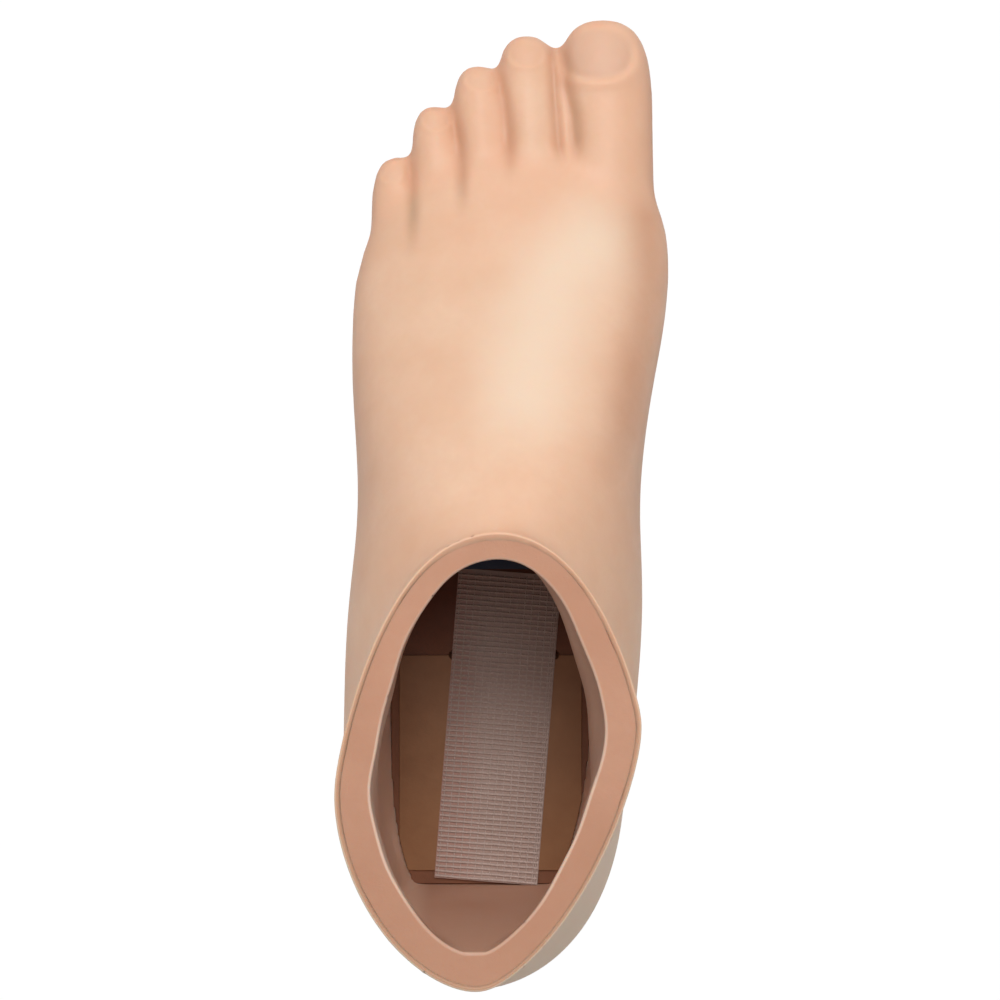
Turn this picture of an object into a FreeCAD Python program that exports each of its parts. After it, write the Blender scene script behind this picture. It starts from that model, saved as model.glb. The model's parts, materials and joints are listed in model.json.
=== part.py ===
"""Foot shell: the hollow, flesh-coloured cover that a prosthetic foot is pushed into.

A left foot, life size, in millimetres.  +Y points to the toes, +X to the inner (big toe) side, +Z up.
The origin is on the ground, under the middle of the shell's outline.

The shell is moulded in two layers, a thin pigmented skin with closed toes and a thick foam wall inside it,
and both are cut off flat at the ankle.  Bonded in the hollow are a foam cushion that makes the floor, a
stiffer filler in the forefoot with a thin tongue that runs back over the cushion, a seat liner at the heel
end of the floor, and a woven strip over the liner, where the foot module's heel spring rubs.

The outside follows a last: a list of cross-sections that starts at the toe roots, runs back along the foot
and then turns upright round the instep, so that the last sections lie flat at the ankle.
"""
import FreeCAD, Part

import math
import os
from collections import namedtuple

import Sketcher
from FreeCAD import Vector

DOC_NAME = "foot_shell"
PARTS_FOLDER = "parts"

# --------------------------------------------------------------------------------------------------------
# Driving dimensions, all in millimetres unless the note says otherwise
# --------------------------------------------------------------------------------------------------------
DIMENSIONS = [
    ("foot_length", 260.0, "heel to tip of the big toe"),
    ("foot_width", 85.0, "across the ball of the foot"),
    ("rim_height", 88.0, "ground to the cut edge at the ankle"),
    ("skin_thickness", 1.5, "pigmented skin"),
    ("sole_skin", 2.5, "the same skin under the sole"),
    ("side_wall", 9.0, "skin and foam together at the sides"),
    ("instep_wall", 6.4, "skin and foam together over the instep"),
    ("back_wall", 9.5, "skin and foam together behind the heel"),
    ("sole_wall", 5.0, "skin and foam together under the cushion"),
    ("hollow_drop", 12.0, "how far below the cushion the hollow's sides would close; more is steeper"),
    ("floor_height", 12.0, "ground to the top of the sole cushion"),
    ("least_wall", 4.2, "skin and foam together, wherever the hollow comes nearest the outside"),
    ("heel_to_hollow", 23.4, "end of the heel's outline to the back end of the floor"),
    ("toe_to_hollow", 48.0, "end of the toes' outline to the front end of the hollow"),
    ("back_wall_lean", 3.4, "how far the hollow's back wall leans back, floor to rim"),
    ("filler_length", 32.0, "filler, from the foot of its sloping face to the front end of the hollow"),
    ("filler_slope", 14.0, "how far the filler's face leans forward over its height"),
    ("tongue_length", 70.0, "filler's tongue, from its back edge to the foot of the sloping face"),
    ("tongue_thickness", 2.5, "filler's tongue on the cushion"),
    ("liner_left_x", -29.6, "outer edge of the seat liner"),
    ("liner_width", 50.0, "seat liner, across"),
    ("liner_back_gap", 4.0, "from the hollow's back wall to the liner"),
    ("liner_length", 59.0, "seat liner, along the foot"),
    ("liner_thickness", 0.6, "seat liner"),
    ("liner_gap", 0.5, "least gap from the liner to the wall"),
    ("pin_hole_diameter", 2.2, "holes left by the two pins that held the liner in the mould"),
    ("pin_hole_depth", 2.0, "the same, into the cushion"),
    ("pin_hole_spacing", 28.0, "between the two"),
    ("pin_hole_middle_x", -0.9, "middle of the two"),
    ("strip_width", 28.5, "woven strip"),
    ("strip_thickness", 0.8, "woven strip"),
    ("strip_back_gap", 1.5, "from the hollow's back wall to the strip"),
    ("strip_front_gap", 1.5, "from the tongue to the strip"),
    ("strip_step", 1.4, "the strip comes down to the cushion this far in front of the liner"),
    ("strip_angle", 4.5, "degrees that the strip turns out from the foot's length"),
    ("strip_centre_x", -1.0, "middle of the strip, where it crosses the liner's front edge"),
]
# The last below is drawn at these sizes and is stretched to the driving ones.
LAST_LENGTH = 260.0
LAST_WIDTH = 85.0
LAST_RIM = 88.0

# One cross-section of the last.  top and bottom are (y, z) where it crosses the foot's middle; inner and
# outer are its widest x on the big toe and little toe sides, and inner_at and outer_at say how far down
# from top to bottom these lie; ridge_x and keel_x are where its top and bottom lie across the foot.  The
# four powers shape its quarters: 2 is an ellipse, less is more pointed, more is squarer; arch is how much
# more the power is across its top, which rounds the front of the ankle.  The first and last sections lie
# beyond the flat cuts at the sole and the rim.
Section = namedtuple(
    "Section",
    "top bottom inner outer inner_at outer_at ridge_x keel_x inner_top outer_top inner_sole outer_sole arch",
    defaults=(0.0,),
)
LAST = [
    Section((92, 22), (92, 4.0), 31, -18, 0.50, 0.55, 12, 4, 2.0, 2.0, 2.4, 2.4),
    Section((84, 26.5), (84, 0.8), 40.5, -30, 0.48, 0.56, 12, 2, 2.0, 1.9, 2.6, 2.6),
    Section((73, 32.5), (73, -1.2), 44.4, -38.8, 0.45, 0.58, 13, 0, 2.0, 1.8, 3.0, 3.0),
    Section((60, 39), (60, -1.8), 44, -42, 0.45, 0.62, 13, -2, 2.0, 1.8, 3.4, 3.4),
    Section((46, 47.5), (46, -2), 42.6, -42.6, 0.46, 0.62, 12, -6, 2.0, 1.9, 3.2, 3.6),
    Section((30, 58), (30, -2), 39, -42.4, 0.47, 0.62, 9, -10, 2.1, 2.0, 2.7, 3.6),
    Section((13, 69), (13, -2), 36, -40.6, 0.48, 0.60, 5, -13, 2.1, 2.1, 2.5, 3.6),
    Section((6, 74), (-12, -2), 34.8, -39.8, 0.50, 0.58, 2, -13, 2.1, 2.1, 2.5, 3.6),
    Section((2, 77), (-36, -2), 35.4, -41, 0.50, 0.56, 0, -12, 2.0, 2.1, 2.7, 3.6),
    Section((-1, 79.5), (-62, -1.8), 35.8, -42.6, 0.52, 0.56, -1, -9, 2.0, 2.0, 3.2, 3.6),
    Section((-3, 81.5), (-84, -1.3), 34.8, -43.2, 0.53, 0.57, -2, -8, 1.95, 2.0, 3.4, 3.4),
    Section((-4.5, 83), (-104, -0.4), 33.4, -43.4, 0.54, 0.58, -2.5, -8, 1.9, 1.95, 3.0, 3.0),
    Section((-5.5, 84.3), (-120, 4), 31.8, -43.4, 0.54, 0.59, -2.7, -8, 1.85, 1.9, 2.6, 2.4, 0.15),
    Section((-6.3, 85.2), (-128.6, 13.5), 30.8, -43, 0.53, 0.60, -2.7, -8, 1.70, 1.78, 2.4, 2.1, 0.35),
    Section((-7, 86.2), (-131.4, 27), 30.2, -42.8, 0.50, 0.60, -2.7, -8, 1.55, 1.60, 2.3, 1.95, 0.6),
    Section((-7.6, 87), (-129.5, 42), 30.2, -42.6, 0.47, 0.59, -2.7, -7.6, 1.42, 1.48, 1.9, 1.9, 0.8),
    Section((-8, 87.6), (-124, 58), 31, -42.2, 0.44, 0.58, -2.7, -7.3, 1.34, 1.40, 1.65, 1.84, 0.95),
    Section((-8.3, 88), (-120, 76), 32.2, -42, 0.42, 0.57, -2.7, -7, 1.30, 1.36, 1.52, 1.8, 1.0),
    Section((-9, 89.5), (-119, 91), 32.4, -42, 0.42, 0.57, -2.7, -7, 1.30, 1.36, 1.50, 1.8, 1.0),
    Section((-11, 96), (-119, 98), 32.4, -42, 0.42, 0.57, -2.7, -7, 1.30, 1.36, 1.50, 1.8, 1.0),
]
QUARTER_STEPS = 7        # poles of the surface in each quarter of a section

# A toe, or the web that fills the gap between two: its root and tip in plan, the height of its axis at
# both, and its half widths and half heights at the root, at the knuckle and at the pad.
Toe = namedtuple("Toe", "root tip root_z tip_z width height")
TOES = [
    Toe((29.0, 50), (26.0, 130.2), 15.0, 12.4, (13.0, 13.0, 13.4), (12.6, 12.0, 11.4)),
    Toe((8.0, 58), (5.4, 126.4), 15.5, 10.6, (9.0, 8.6, 9.2), (11.5, 10.0, 9.2)),
    Toe((-5.4, 54), (-7.8, 118.4), 15.0, 10.0, (8.0, 7.6, 8.1), (11.0, 9.6, 8.6)),
    Toe((-18.0, 46), (-19.8, 107.4), 14.0, 9.6, (7.8, 7.0, 7.3), (10.5, 9.2, 8.2)),
    Toe((-32.0, 34), (-30.2, 93.6), 12.5, 9.0, (8.0, 7.0, 7.2), (9.6, 8.8, 7.8)),
    Toe((18.0, 56), (13.8, 123.4), 13.5, 9.5, (6.5, 5.0, 4.6), (10.0, 8.2, 7.0)),
    Toe((2.0, 56), (-1.6, 116.2), 13.5, 9.0, (6.5, 5.0, 4.6), (9.5, 8.0, 6.8)),
    Toe((-11.0, 50), (-14.4, 104.8), 12.5, 8.6, (6.5, 5.0, 4.6), (9.2, 7.6, 6.4)),
    Toe((-24.5, 40), (-26.0, 92.2), 11.5, 8.2, (6.5, 5.0, 4.6), (8.6, 7.2, 6.0)),
]
# Along a toe: share of its length, share of its size, and which of root, knuckle and pad that size is.
TOE_STATIONS = [
    (0.00, 1.0, 0), (0.22, 1.0, 0), (0.45, 1.0, 1), (0.62, 1.0, 1), (0.75, 1.0, 2),
    (0.85, 0.97, 2), (0.93, 0.84, 2), (0.98, 0.62, 2), (1.0, 0.33, 2), (1.003, 0.04, 2),
]
TOE_STEPS = 16           # poles round a toe
BEYOND = 20.0            # how far a cutting block reaches past what it cuts


def sheet_of(doc):
    """Puts the driving dimensions in a spreadsheet, one alias each, and returns it."""
    sheet = doc.addObject("Spreadsheet::Sheet", "dimensions")
    for row, (alias, value, note) in enumerate(DIMENSIONS, start=1):
        sheet.set(f"A{row}", note)
        sheet.set(f"B{row}", str(value))
        sheet.setAlias(f"B{row}", alias)
    doc.recompute()
    return sheet


# --------------------------------------------------------------------------------------------------------
# The freeform bodies: the last and its toes
# --------------------------------------------------------------------------------------------------------
def stretch(sheet):
    """How far the last is stretched along x, y and z to reach the driving sizes."""
    return (
        sheet.foot_width / LAST_WIDTH,
        sheet.foot_length / LAST_LENGTH,
        sheet.rim_height / LAST_RIM,
    )


def quarter(start, end, corner, power, arch_near=0.0, arch_far=0.0):
    """Points of a quarter superellipse from start to just before end, turning about corner.

    An arch adds to the power of one direction only: the near one to what runs towards start, the far one
    to what runs towards end.
    """
    across, down = start[0] - corner[0], start[1] - corner[1]
    along, drop = end[0] - corner[0], end[1] - corner[1]
    points = []
    for step in range(QUARTER_STEPS):
        turn = 0.5 * math.pi * step / QUARTER_STEPS
        near = math.cos(turn) ** (2.0 / (power + arch_near))
        far = math.sin(turn) ** (2.0 / (power + arch_far))
        points.append((corner[0] + across * near + along * far, corner[1] + down * near + drop * far))
    return points


def section_poles(section, scale, side, top_wall, sole_wall, back_wall):
    """The poles round one section of the last, moved in by the given walls."""
    sx, sy, sz = scale
    top = Vector(0, section.top[0] * sy, section.top[1] * sz)
    bottom = Vector(0, section.bottom[0] * sy, section.bottom[1] * sz)
    down = (bottom - top).normalize()
    top = top + down * top_wall
    bottom = bottom - down * (sole_wall * abs(down.z) + back_wall * abs(down.y))
    length = (bottom - top).Length
    inner, outer = section.inner * sx - side, section.outer * sx + side
    ridge, keel = (section.ridge_x * sx, 0.0), (section.keel_x * sx, length)
    inner_end, outer_end = (inner, section.inner_at * length), (outer, section.outer_at * length)
    outline = quarter(ridge, inner_end, (ridge[0], inner_end[1]), section.inner_top, arch_far=section.arch)
    outline += quarter(inner_end, keel, (keel[0], inner_end[1]), section.inner_sole)
    outline += quarter(keel, outer_end, (keel[0], outer_end[1]), section.outer_sole)
    outline += quarter(outer_end, ridge, (ridge[0], outer_end[1]), section.outer_top, arch_near=section.arch)
    return [top + Vector(x, 0, 0) + down * depth for x, depth in outline]


def closed_solid(rows):
    """A solid with a smooth side over rows of poles, each row a ring, and a flat cap at each end."""
    degree = 3
    spans = len(rows) - degree
    u_knots = [float(i) for i in range(spans + 1)]
    u_mults = [degree + 1] + [1] * (spans - 1) + [degree + 1]
    v_knots = [float(i) for i in range(len(rows[0]) + 1)]
    v_mults = [1] * len(v_knots)
    side = Part.BSplineSurface()
    side.buildFromPolesMultsKnots(rows, u_mults, v_mults, u_knots, v_knots, False, True, degree, degree)
    caps = [Part.Face(Part.Wire([side.uIso(u).toShape()])) for u in (u_knots[0], u_knots[-1])]
    solid = Part.Solid(Part.Shell([side.toShape()] + caps))
    if solid.Volume < 0:
        solid.reverse()
    return solid


def last_solid(scale, side=0.0, top_wall=0.0, sole_wall=0.0, back_wall=0.0, front_wall=0.0):
    """The last without its toes, moved in by the given walls; the front one shortens it at the toe roots."""
    rows = [section_poles(s, scale, side, top_wall, sole_wall, back_wall) for s in LAST]
    rows[0] = [pole - Vector(0, front_wall, 0) for pole in rows[0]]
    return closed_solid(rows)


def toe_solid(toe, scale, wall=0.0):
    """One toe: rings round an axis from its root, inside the last, to its rounded tip."""
    sx, sy, sz = scale
    root = Vector(toe.root[0] * sx, toe.root[1] * sy, toe.root_z * sz)
    tip = Vector(toe.tip[0] * sx, toe.tip[1] * sy - wall, toe.tip_z * sz)
    rows = []
    for share, size, which in TOE_STATIONS:
        centre = root + (tip - root) * share
        half_width = (toe.width[which] * sx - wall) * size
        half_height = (toe.height[which] * sz - wall) * size
        turns = [2 * math.pi * step / TOE_STEPS for step in range(TOE_STEPS)]
        rows.append([centre + Vector(half_width * math.sin(t), 0, half_height * math.cos(t)) for t in turns])
    return closed_solid(rows)


def foot_form(scale, wall=0.0):
    """The whole foot, last and toes in one, moved in by a wall that is the same all over."""
    toes = [toe_solid(toe, scale, wall) for toe in TOES]
    return last_solid(scale, wall, wall, wall, wall, wall).multiFuse(toes)


def hollow_form(sheet, scale, gap=0.0):
    """The last moved in by the walls and a gap.  It reaches below the hollow, so its sides are steep there."""
    return last_solid(
        scale, sheet.side_wall + gap, sheet.instep_wall + gap,
        sheet.sole_wall - sheet.hollow_drop, sheet.back_wall + gap,
    )


# --------------------------------------------------------------------------------------------------------
# Document objects
# --------------------------------------------------------------------------------------------------------
def bind(made, **expressions):
    """Binds properties of an object to expressions; a double underscore stands for a dot in a name."""
    for name, expression in expressions.items():
        made.setExpression(name.replace("__", "."), expression)
    return made


def freeform(doc, name, shape):
    """A plain feature that holds a freeform shape."""
    made = doc.addObject("Part::Feature", name)
    made.Shape = shape
    return made


def box(doc, name, low, high):
    """A Part::Box between two corners, each coordinate an expression."""
    made = doc.addObject("Part::Box", name)
    return bind(
        made,
        Placement__Base__x=low[0], Placement__Base__y=low[1], Placement__Base__z=low[2],
        Length=f"({high[0]}) - ({low[0]})",
        Width=f"({high[1]}) - ({low[1]})",
        Height=f"({high[2]}) - ({low[2]})",
    )


def side_profile(doc, name, corners, width):
    """A PartDesign body: a profile in the YZ plane, drawn through corners, padded both ways to a width."""
    body = doc.addObject("PartDesign::Body", name)
    plane = next(f for f in body.Origin.OriginFeatures if f.Role == "YZ_Plane")
    sketch = body.newObject("Sketcher::SketchObject", name + "_profile")
    sketch.AttachmentSupport = [(plane, "")]
    sketch.MapMode = "FlatFace"
    spots = [doc.dimensions.evalExpression(y) for y, _ in corners]
    heights = [doc.dimensions.evalExpression(z) for _, z in corners]
    count = len(corners)
    for i in range(count):
        j = (i + 1) % count
        sketch.addGeometry(Part.LineSegment(Vector(spots[i], heights[i], 0), Vector(spots[j], heights[j], 0)))
    for i in range(count):
        sketch.addConstraint(Sketcher.Constraint("Coincident", i, 2, (i + 1) % count, 1))
    for i, (y, z) in enumerate(corners):
        for kind, value, expression in (("DistanceX", spots[i], y), ("DistanceY", heights[i], z)):
            added = sketch.addConstraint(Sketcher.Constraint(kind, -1, 1, i, 1, value))
            sketch.setExpression(f"Constraints[{added}]", expression)
    pad = body.newObject("PartDesign::Pad", name + "_pad")
    pad.Profile = sketch
    pad.SideType = "Symmetric"
    bind(pad, Length=width)
    return body


def cut(doc, name, base, tool):
    """A Part::Cut of one object by another."""
    made = doc.addObject("Part::Cut", name)
    made.Base, made.Tool = base, tool
    return made


def common(doc, name, base, tool):
    """A Part::Common of two objects."""
    made = doc.addObject("Part::Common", name)
    made.Base, made.Tool = base, tool
    return made


# --------------------------------------------------------------------------------------------------------
# The pieces
# --------------------------------------------------------------------------------------------------------
D = "dimensions."
HALF_SPAN = D + "foot_width"            # half the width of every block that only has to reach past the foot
Y_SPAN = D + "foot_length"
FLOOR = D + "floor_height"
BACK_Y = f"({D}heel_to_hollow - {D}foot_length / 2)"
FRONT_Y = f"({D}foot_length / 2 - {D}toe_to_hollow)"
FILLER_Y = f"({FRONT_Y} - {D}filler_length)"
TONGUE_Y = f"({FILLER_Y} - {D}tongue_length)"
LINER_BACK_Y = f"({BACK_Y} + {D}liner_back_gap)"
LINER_FRONT_Y = f"({LINER_BACK_Y} + {D}liner_length)"


def skin_and_wall(doc, sheet, scale, hollow):
    """The skin, and the foam wall between it and the hollow."""
    outside = freeform(doc, "outside_form", foot_form(scale))
    inside = freeform(doc, "inside_form", foot_form(scale, sheet.skin_thickness))
    height = D + "rim_height"
    slab = box(doc, "ground_to_rim", ("-" + HALF_SPAN, "-" + Y_SPAN, "0"), (HALF_SPAN, Y_SPAN, height))
    slab_in = box(
        doc, "sole_skin_to_rim",
        ("-" + HALF_SPAN, "-" + Y_SPAN, D + "sole_skin"), (HALF_SPAN, Y_SPAN, height),
    )
    foot = common(doc, "foot_solid", outside, slab)
    foam = common(doc, "foam_solid", inside, slab_in)
    skin = cut(doc, "outer_skin", foot, foam)
    wall = cut(doc, "foam_wall", foam, hollow)
    return [skin, wall]


def hollow_space(doc, sheet, scale):
    """The hollow with all that is bonded in it: inside the walls, and between its back and front ends."""
    form = freeform(doc, "hollow_form", hollow_form(sheet, scale))
    top = f"{D}rim_height + {BEYOND}"
    block = side_profile(
        doc, "hollow_block",
        [
            (BACK_Y, D + "sole_wall"),
            (FRONT_Y, D + "sole_wall"),
            (FRONT_Y, top),
            (f"{BACK_Y} - {D}back_wall_lean", top),
            (BACK_Y, FLOOR),
        ],
        "2 * " + HALF_SPAN,
    )
    least = freeform(doc, "least_wall_form", last_solid(scale, *[sheet.least_wall] * 5))
    return common(doc, "hollow", common(doc, "hollow_blank", form, block), least)


def cushion_and_filler(doc, hollow):
    """The sole cushion with its two pin holes, and the forefoot filler with its tongue."""
    layer = box(doc, "cushion_layer", ("-" + HALF_SPAN, "-" + Y_SPAN, "0"), (HALF_SPAN, Y_SPAN, FLOOR))
    whole = common(doc, "cushion_blank", hollow, layer)
    cushion = cut(doc, "sole_cushion", whole, pin_holes(doc, "cushion_pin_holes"))
    face = side_profile(
        doc, "filler_block",
        [
            (TONGUE_Y, FLOOR),
            (FRONT_Y, FLOOR),
            (FRONT_Y, D + "rim_height"),
            (f"{FILLER_Y} + {D}filler_slope", D + "rim_height"),
            (FILLER_Y, f"{FLOOR} + 3 * {D}tongue_thickness"),
            (f"{FILLER_Y} - {D}filler_slope", f"{FLOOR} + 1.4 * {D}tongue_thickness"),
            (TONGUE_Y, f"{FLOOR} + {D}tongue_thickness"),
        ],
        "2 * " + HALF_SPAN,
    )
    filler = common(doc, "forefoot_filler", hollow, face)
    return [cushion, filler]


def pin_holes(doc, name):
    """Two upright pins on the liner's front edge, to cut holes with."""
    pins = []
    for side, sign in (("inner", "+"), ("outer", "-")):
        pin = doc.addObject("Part::Cylinder", f"{name}_{side}")
        bind(
            pin,
            Radius=f"{D}pin_hole_diameter / 2",
            Height=f"{D}pin_hole_depth + {BEYOND}",
            Placement__Base__x=f"{D}pin_hole_middle_x {sign} {D}pin_hole_spacing / 2",
            Placement__Base__y=LINER_FRONT_Y,
            Placement__Base__z=f"{FLOOR} - {D}pin_hole_depth",
        )
        pins.append(pin)
    pair = doc.addObject("Part::MultiFuse", name)
    pair.Shapes = pins
    return pair


def seat_liner(doc, sheet, scale):
    """The thin liner on the heel end of the floor, trimmed to clear the wall and notched by the pins."""
    form = freeform(doc, "liner_form", hollow_form(sheet, scale, sheet.liner_gap))
    sheet_box = box(
        doc, "liner_sheet",
        (D + "liner_left_x", LINER_BACK_Y, FLOOR),
        (f"{D}liner_left_x + {D}liner_width", LINER_FRONT_Y, f"{FLOOR} + {D}liner_thickness"),
    )
    trimmed = common(doc, "liner_blank", sheet_box, form)
    return [cut(doc, "seat_liner", trimmed, pin_holes(doc, "liner_pin_holes"))]


def woven_strip(doc):
    """The woven strip: over the liner from the back wall, down its front edge and on to the tongue."""
    on_liner = f"{FLOOR} + {D}liner_thickness"
    back = f"{BACK_Y} + {D}strip_back_gap - {LINER_FRONT_Y}"
    front = f"{TONGUE_Y} - {D}strip_front_gap - {LINER_FRONT_Y}"
    step = D + "strip_step"
    thick = D + "strip_thickness"
    body = side_profile(
        doc, "woven_strip",
        [
            (back, on_liner),
            (step, on_liner),
            (step, FLOOR),
            (front, FLOOR),
            (front, f"{FLOOR} + {thick}"),
            (f"{step} + {thick}", f"{FLOOR} + {thick}"),
            (f"{step} + {thick}", f"{on_liner} + {thick}"),
            (back, f"{on_liner} + {thick}"),
        ],
        D + "strip_width",
    )
    bind(
        body,
        Placement__Base__x=D + "strip_centre_x",
        Placement__Base__y=LINER_FRONT_Y,
        Placement__Rotation__Angle="-" + D + "strip_angle",
    )
    return [body]


def check_and_write(doc, pieces):
    """Stops on any failed object or bad shape, then writes one STEP file for each piece."""
    failed = [made.Name for made in doc.Objects if {"Invalid", "Error"} & set(made.State)]
    if failed:
        raise RuntimeError("failed objects: " + ", ".join(failed))
    os.makedirs(PARTS_FOLDER, exist_ok=True)
    for piece in pieces:
        shape = piece.Shape
        if shape.isNull() or not shape.isValid() or not shape.Solids:
            raise RuntimeError("bad shape: " + piece.Label)
        shape.exportStep(os.path.join(PARTS_FOLDER, piece.Label + ".step"))
        size = shape.BoundBox
        print(f"{piece.Label}: {len(shape.Solids)} solid, {shape.Volume / 1000:.1f} cm3, "
              f"x {size.XMin:.1f} to {size.XMax:.1f}, y {size.YMin:.1f} to {size.YMax:.1f}, "
              f"z {size.ZMin:.1f} to {size.ZMax:.1f}")


def main():
    """Builds the document and writes every piece."""
    doc = FreeCAD.newDocument(DOC_NAME)
    sheet = sheet_of(doc)
    scale = stretch(sheet)
    hollow = hollow_space(doc, sheet, scale)
    pieces = skin_and_wall(doc, sheet, scale, hollow)
    pieces += cushion_and_filler(doc, hollow)
    pieces += seat_liner(doc, sheet, scale)
    pieces += woven_strip(doc)
    for piece in pieces:
        piece.Label = piece.Name
    doc.recompute()
    check_and_write(doc, pieces)


main()
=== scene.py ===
"""The looks of a hollow foot shell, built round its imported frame: skin, foam wall, floor, liner and strip."""

from __future__ import annotations

import json
import logging
import math
from collections.abc import Callable, Iterator
from contextlib import contextmanager
from dataclasses import dataclass, replace
from enum import Enum

import bmesh
import bpy
import numpy as np
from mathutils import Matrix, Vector

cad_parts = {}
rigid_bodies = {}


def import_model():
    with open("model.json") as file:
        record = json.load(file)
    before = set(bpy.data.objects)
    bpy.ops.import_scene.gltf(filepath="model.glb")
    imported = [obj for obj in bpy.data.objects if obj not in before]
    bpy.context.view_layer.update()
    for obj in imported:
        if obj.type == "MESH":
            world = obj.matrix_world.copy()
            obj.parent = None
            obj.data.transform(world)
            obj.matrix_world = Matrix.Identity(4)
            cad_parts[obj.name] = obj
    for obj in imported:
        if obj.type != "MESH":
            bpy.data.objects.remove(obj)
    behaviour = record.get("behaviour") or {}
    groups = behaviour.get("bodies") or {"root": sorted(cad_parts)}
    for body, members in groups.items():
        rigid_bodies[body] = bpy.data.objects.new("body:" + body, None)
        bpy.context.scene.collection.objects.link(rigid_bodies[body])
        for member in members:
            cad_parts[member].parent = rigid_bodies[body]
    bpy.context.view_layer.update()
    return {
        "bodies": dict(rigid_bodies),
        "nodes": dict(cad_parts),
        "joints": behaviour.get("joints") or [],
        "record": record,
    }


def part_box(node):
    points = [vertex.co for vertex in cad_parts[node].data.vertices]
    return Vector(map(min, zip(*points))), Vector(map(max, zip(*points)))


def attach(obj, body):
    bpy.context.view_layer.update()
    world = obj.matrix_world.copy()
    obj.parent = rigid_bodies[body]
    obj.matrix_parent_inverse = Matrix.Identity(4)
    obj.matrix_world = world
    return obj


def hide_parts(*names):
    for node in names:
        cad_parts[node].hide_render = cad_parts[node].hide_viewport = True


LOG = logging.getLogger("foot_shell")
BODY = "root"
MM = 0.001
WELD = 0.002  # millimetres, within which a copy's vertices are merged
FLAT = 0.01  # millimetres, how near the rim a face's vertices are where it belongs to the cut end
NAIL_POWER = 2.3  # of the superellipse that a nail's plate is; 2 is an ellipse
SKIN_SPREAD = (1.0, 0.45, 0.25)  # how far red, green and blue light spread in an elastomer
PAINTED_SHADE_TINT = (0.62, 0.44, 0.35)  # what painted shade multiplies the colour by
WHITE = (1.0, 1.0, 1.0, 1.0)
Colour = tuple[float, float, float]
Place = tuple[float, float, float]


class Node(str, Enum):
    """The pieces of the frame."""

    SKIN = "outer_skin"
    WALL = "foam_wall"
    CUSHION = "sole_cushion"
    FILLER = "forefoot_filler"
    LINER = "seat_liner"
    STRIP = "woven_strip"


# ---------------------------------------------------------------------------------------------------------
# Helpers for modelling by hand
# ---------------------------------------------------------------------------------------------------------
def pick(*objects: bpy.types.Object) -> None:
    """Selects only these objects and makes the first one active."""
    bpy.ops.object.select_all(action="DESELECT")
    for piece in objects:
        piece.select_set(True)
    bpy.context.view_layer.objects.active = objects[0]


@contextmanager
def editing(piece: bpy.types.Object, mode: str = "VERT") -> Iterator[None]:
    """Puts one object in edit mode with nothing selected, and takes it out again at the end.

    Args:
        piece: The object to edit.
        mode: VERT, EDGE or FACE, what is selected.
    """
    pick(piece)
    bpy.ops.object.mode_set(mode="EDIT")
    bpy.ops.mesh.select_mode(type=mode)
    bpy.ops.mesh.select_all(action="DESELECT")
    yield
    bpy.ops.object.mode_set(mode="OBJECT")


def select(piece: bpy.types.Object, part: str, test: Callable[[object], bool]) -> None:
    """Adds to the selection the vertices, edges or faces of an object in edit mode that pass a test.

    Args:
        piece: The object, in edit mode.
        part: verts, edges or faces.
        test: Says of one element whether it is selected.
    """
    mesh = bmesh.from_edit_mesh(piece.data)
    for element in [element for element in getattr(mesh, part) if test(element)]:
        element.select_set(True)
    bmesh.update_edit_mesh(piece.data)


def finish_modifier(piece: bpy.types.Object, kind: str, **settings: object) -> None:
    """Adds a modifier with its settings and applies it.

    Args:
        piece: The object.
        kind: The modifier's type.
        settings: Its settings by name.
    """
    pick(piece)
    modifier = piece.modifiers.new(kind.title(), kind)
    for name, value in settings.items():
        setattr(modifier, name, value)
    bpy.ops.object.modifier_apply(modifier=modifier.name)


def copy_of(node: bpy.types.Object, name: str) -> bpy.types.Object:
    """Copies a frame node's mesh into a new object and merges its loose triangles.

    Args:
        node: The frame's object.
        name: The new object's name.

    Returns:
        The new object.
    """
    piece = bpy.data.objects.new(name, node.data.copy())
    piece.data.materials.clear()
    bpy.context.scene.collection.objects.link(piece)
    with editing(piece):
        bpy.ops.mesh.select_all(action="SELECT")
        bpy.ops.mesh.remove_doubles(threshold=WELD * MM)
    return piece


def shade(piece: bpy.types.Object, degrees: float) -> None:
    """Shades an object smooth up to an angle, with its large flat faces kept flat.

    Args:
        piece: The object.
        degrees: The angle between two faces above which their edge stays sharp.
    """
    pick(piece)
    bpy.ops.object.shade_smooth_by_angle(angle=math.radians(degrees))
    finish_modifier(piece, "WEIGHTED_NORMAL", keep_sharp=True)


def points_of(piece: bpy.types.Object) -> np.ndarray:
    """The vertices of an object, one row each, in millimetres."""
    flat = np.zeros(len(piece.data.vertices) * 3)
    piece.data.vertices.foreach_get("co", flat)
    return flat.reshape(-1, 3) / MM


def normals_of(piece: bpy.types.Object) -> np.ndarray:
    """The vertex normals of an object, one row each."""
    flat = np.zeros(len(piece.data.vertices) * 3, np.float32)
    piece.data.vertices.foreach_get("normal", flat)
    return flat.reshape(-1, 3).astype(float)


def set_points(piece: bpy.types.Object, points: np.ndarray) -> None:
    """Moves the vertices of an object to points in millimetres."""
    piece.data.vertices.foreach_set("co", (points * MM).ravel())
    piece.data.update()


def paint(piece: bpy.types.Object, name: str, values: np.ndarray) -> None:
    """Stores one value for each vertex, from 0 to 1, as an attribute that a material can read."""
    layer = piece.data.attributes.new(name, "FLOAT", "POINT")
    layer.data.foreach_set("value", np.clip(values, 0, 1).astype(np.float32))


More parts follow.
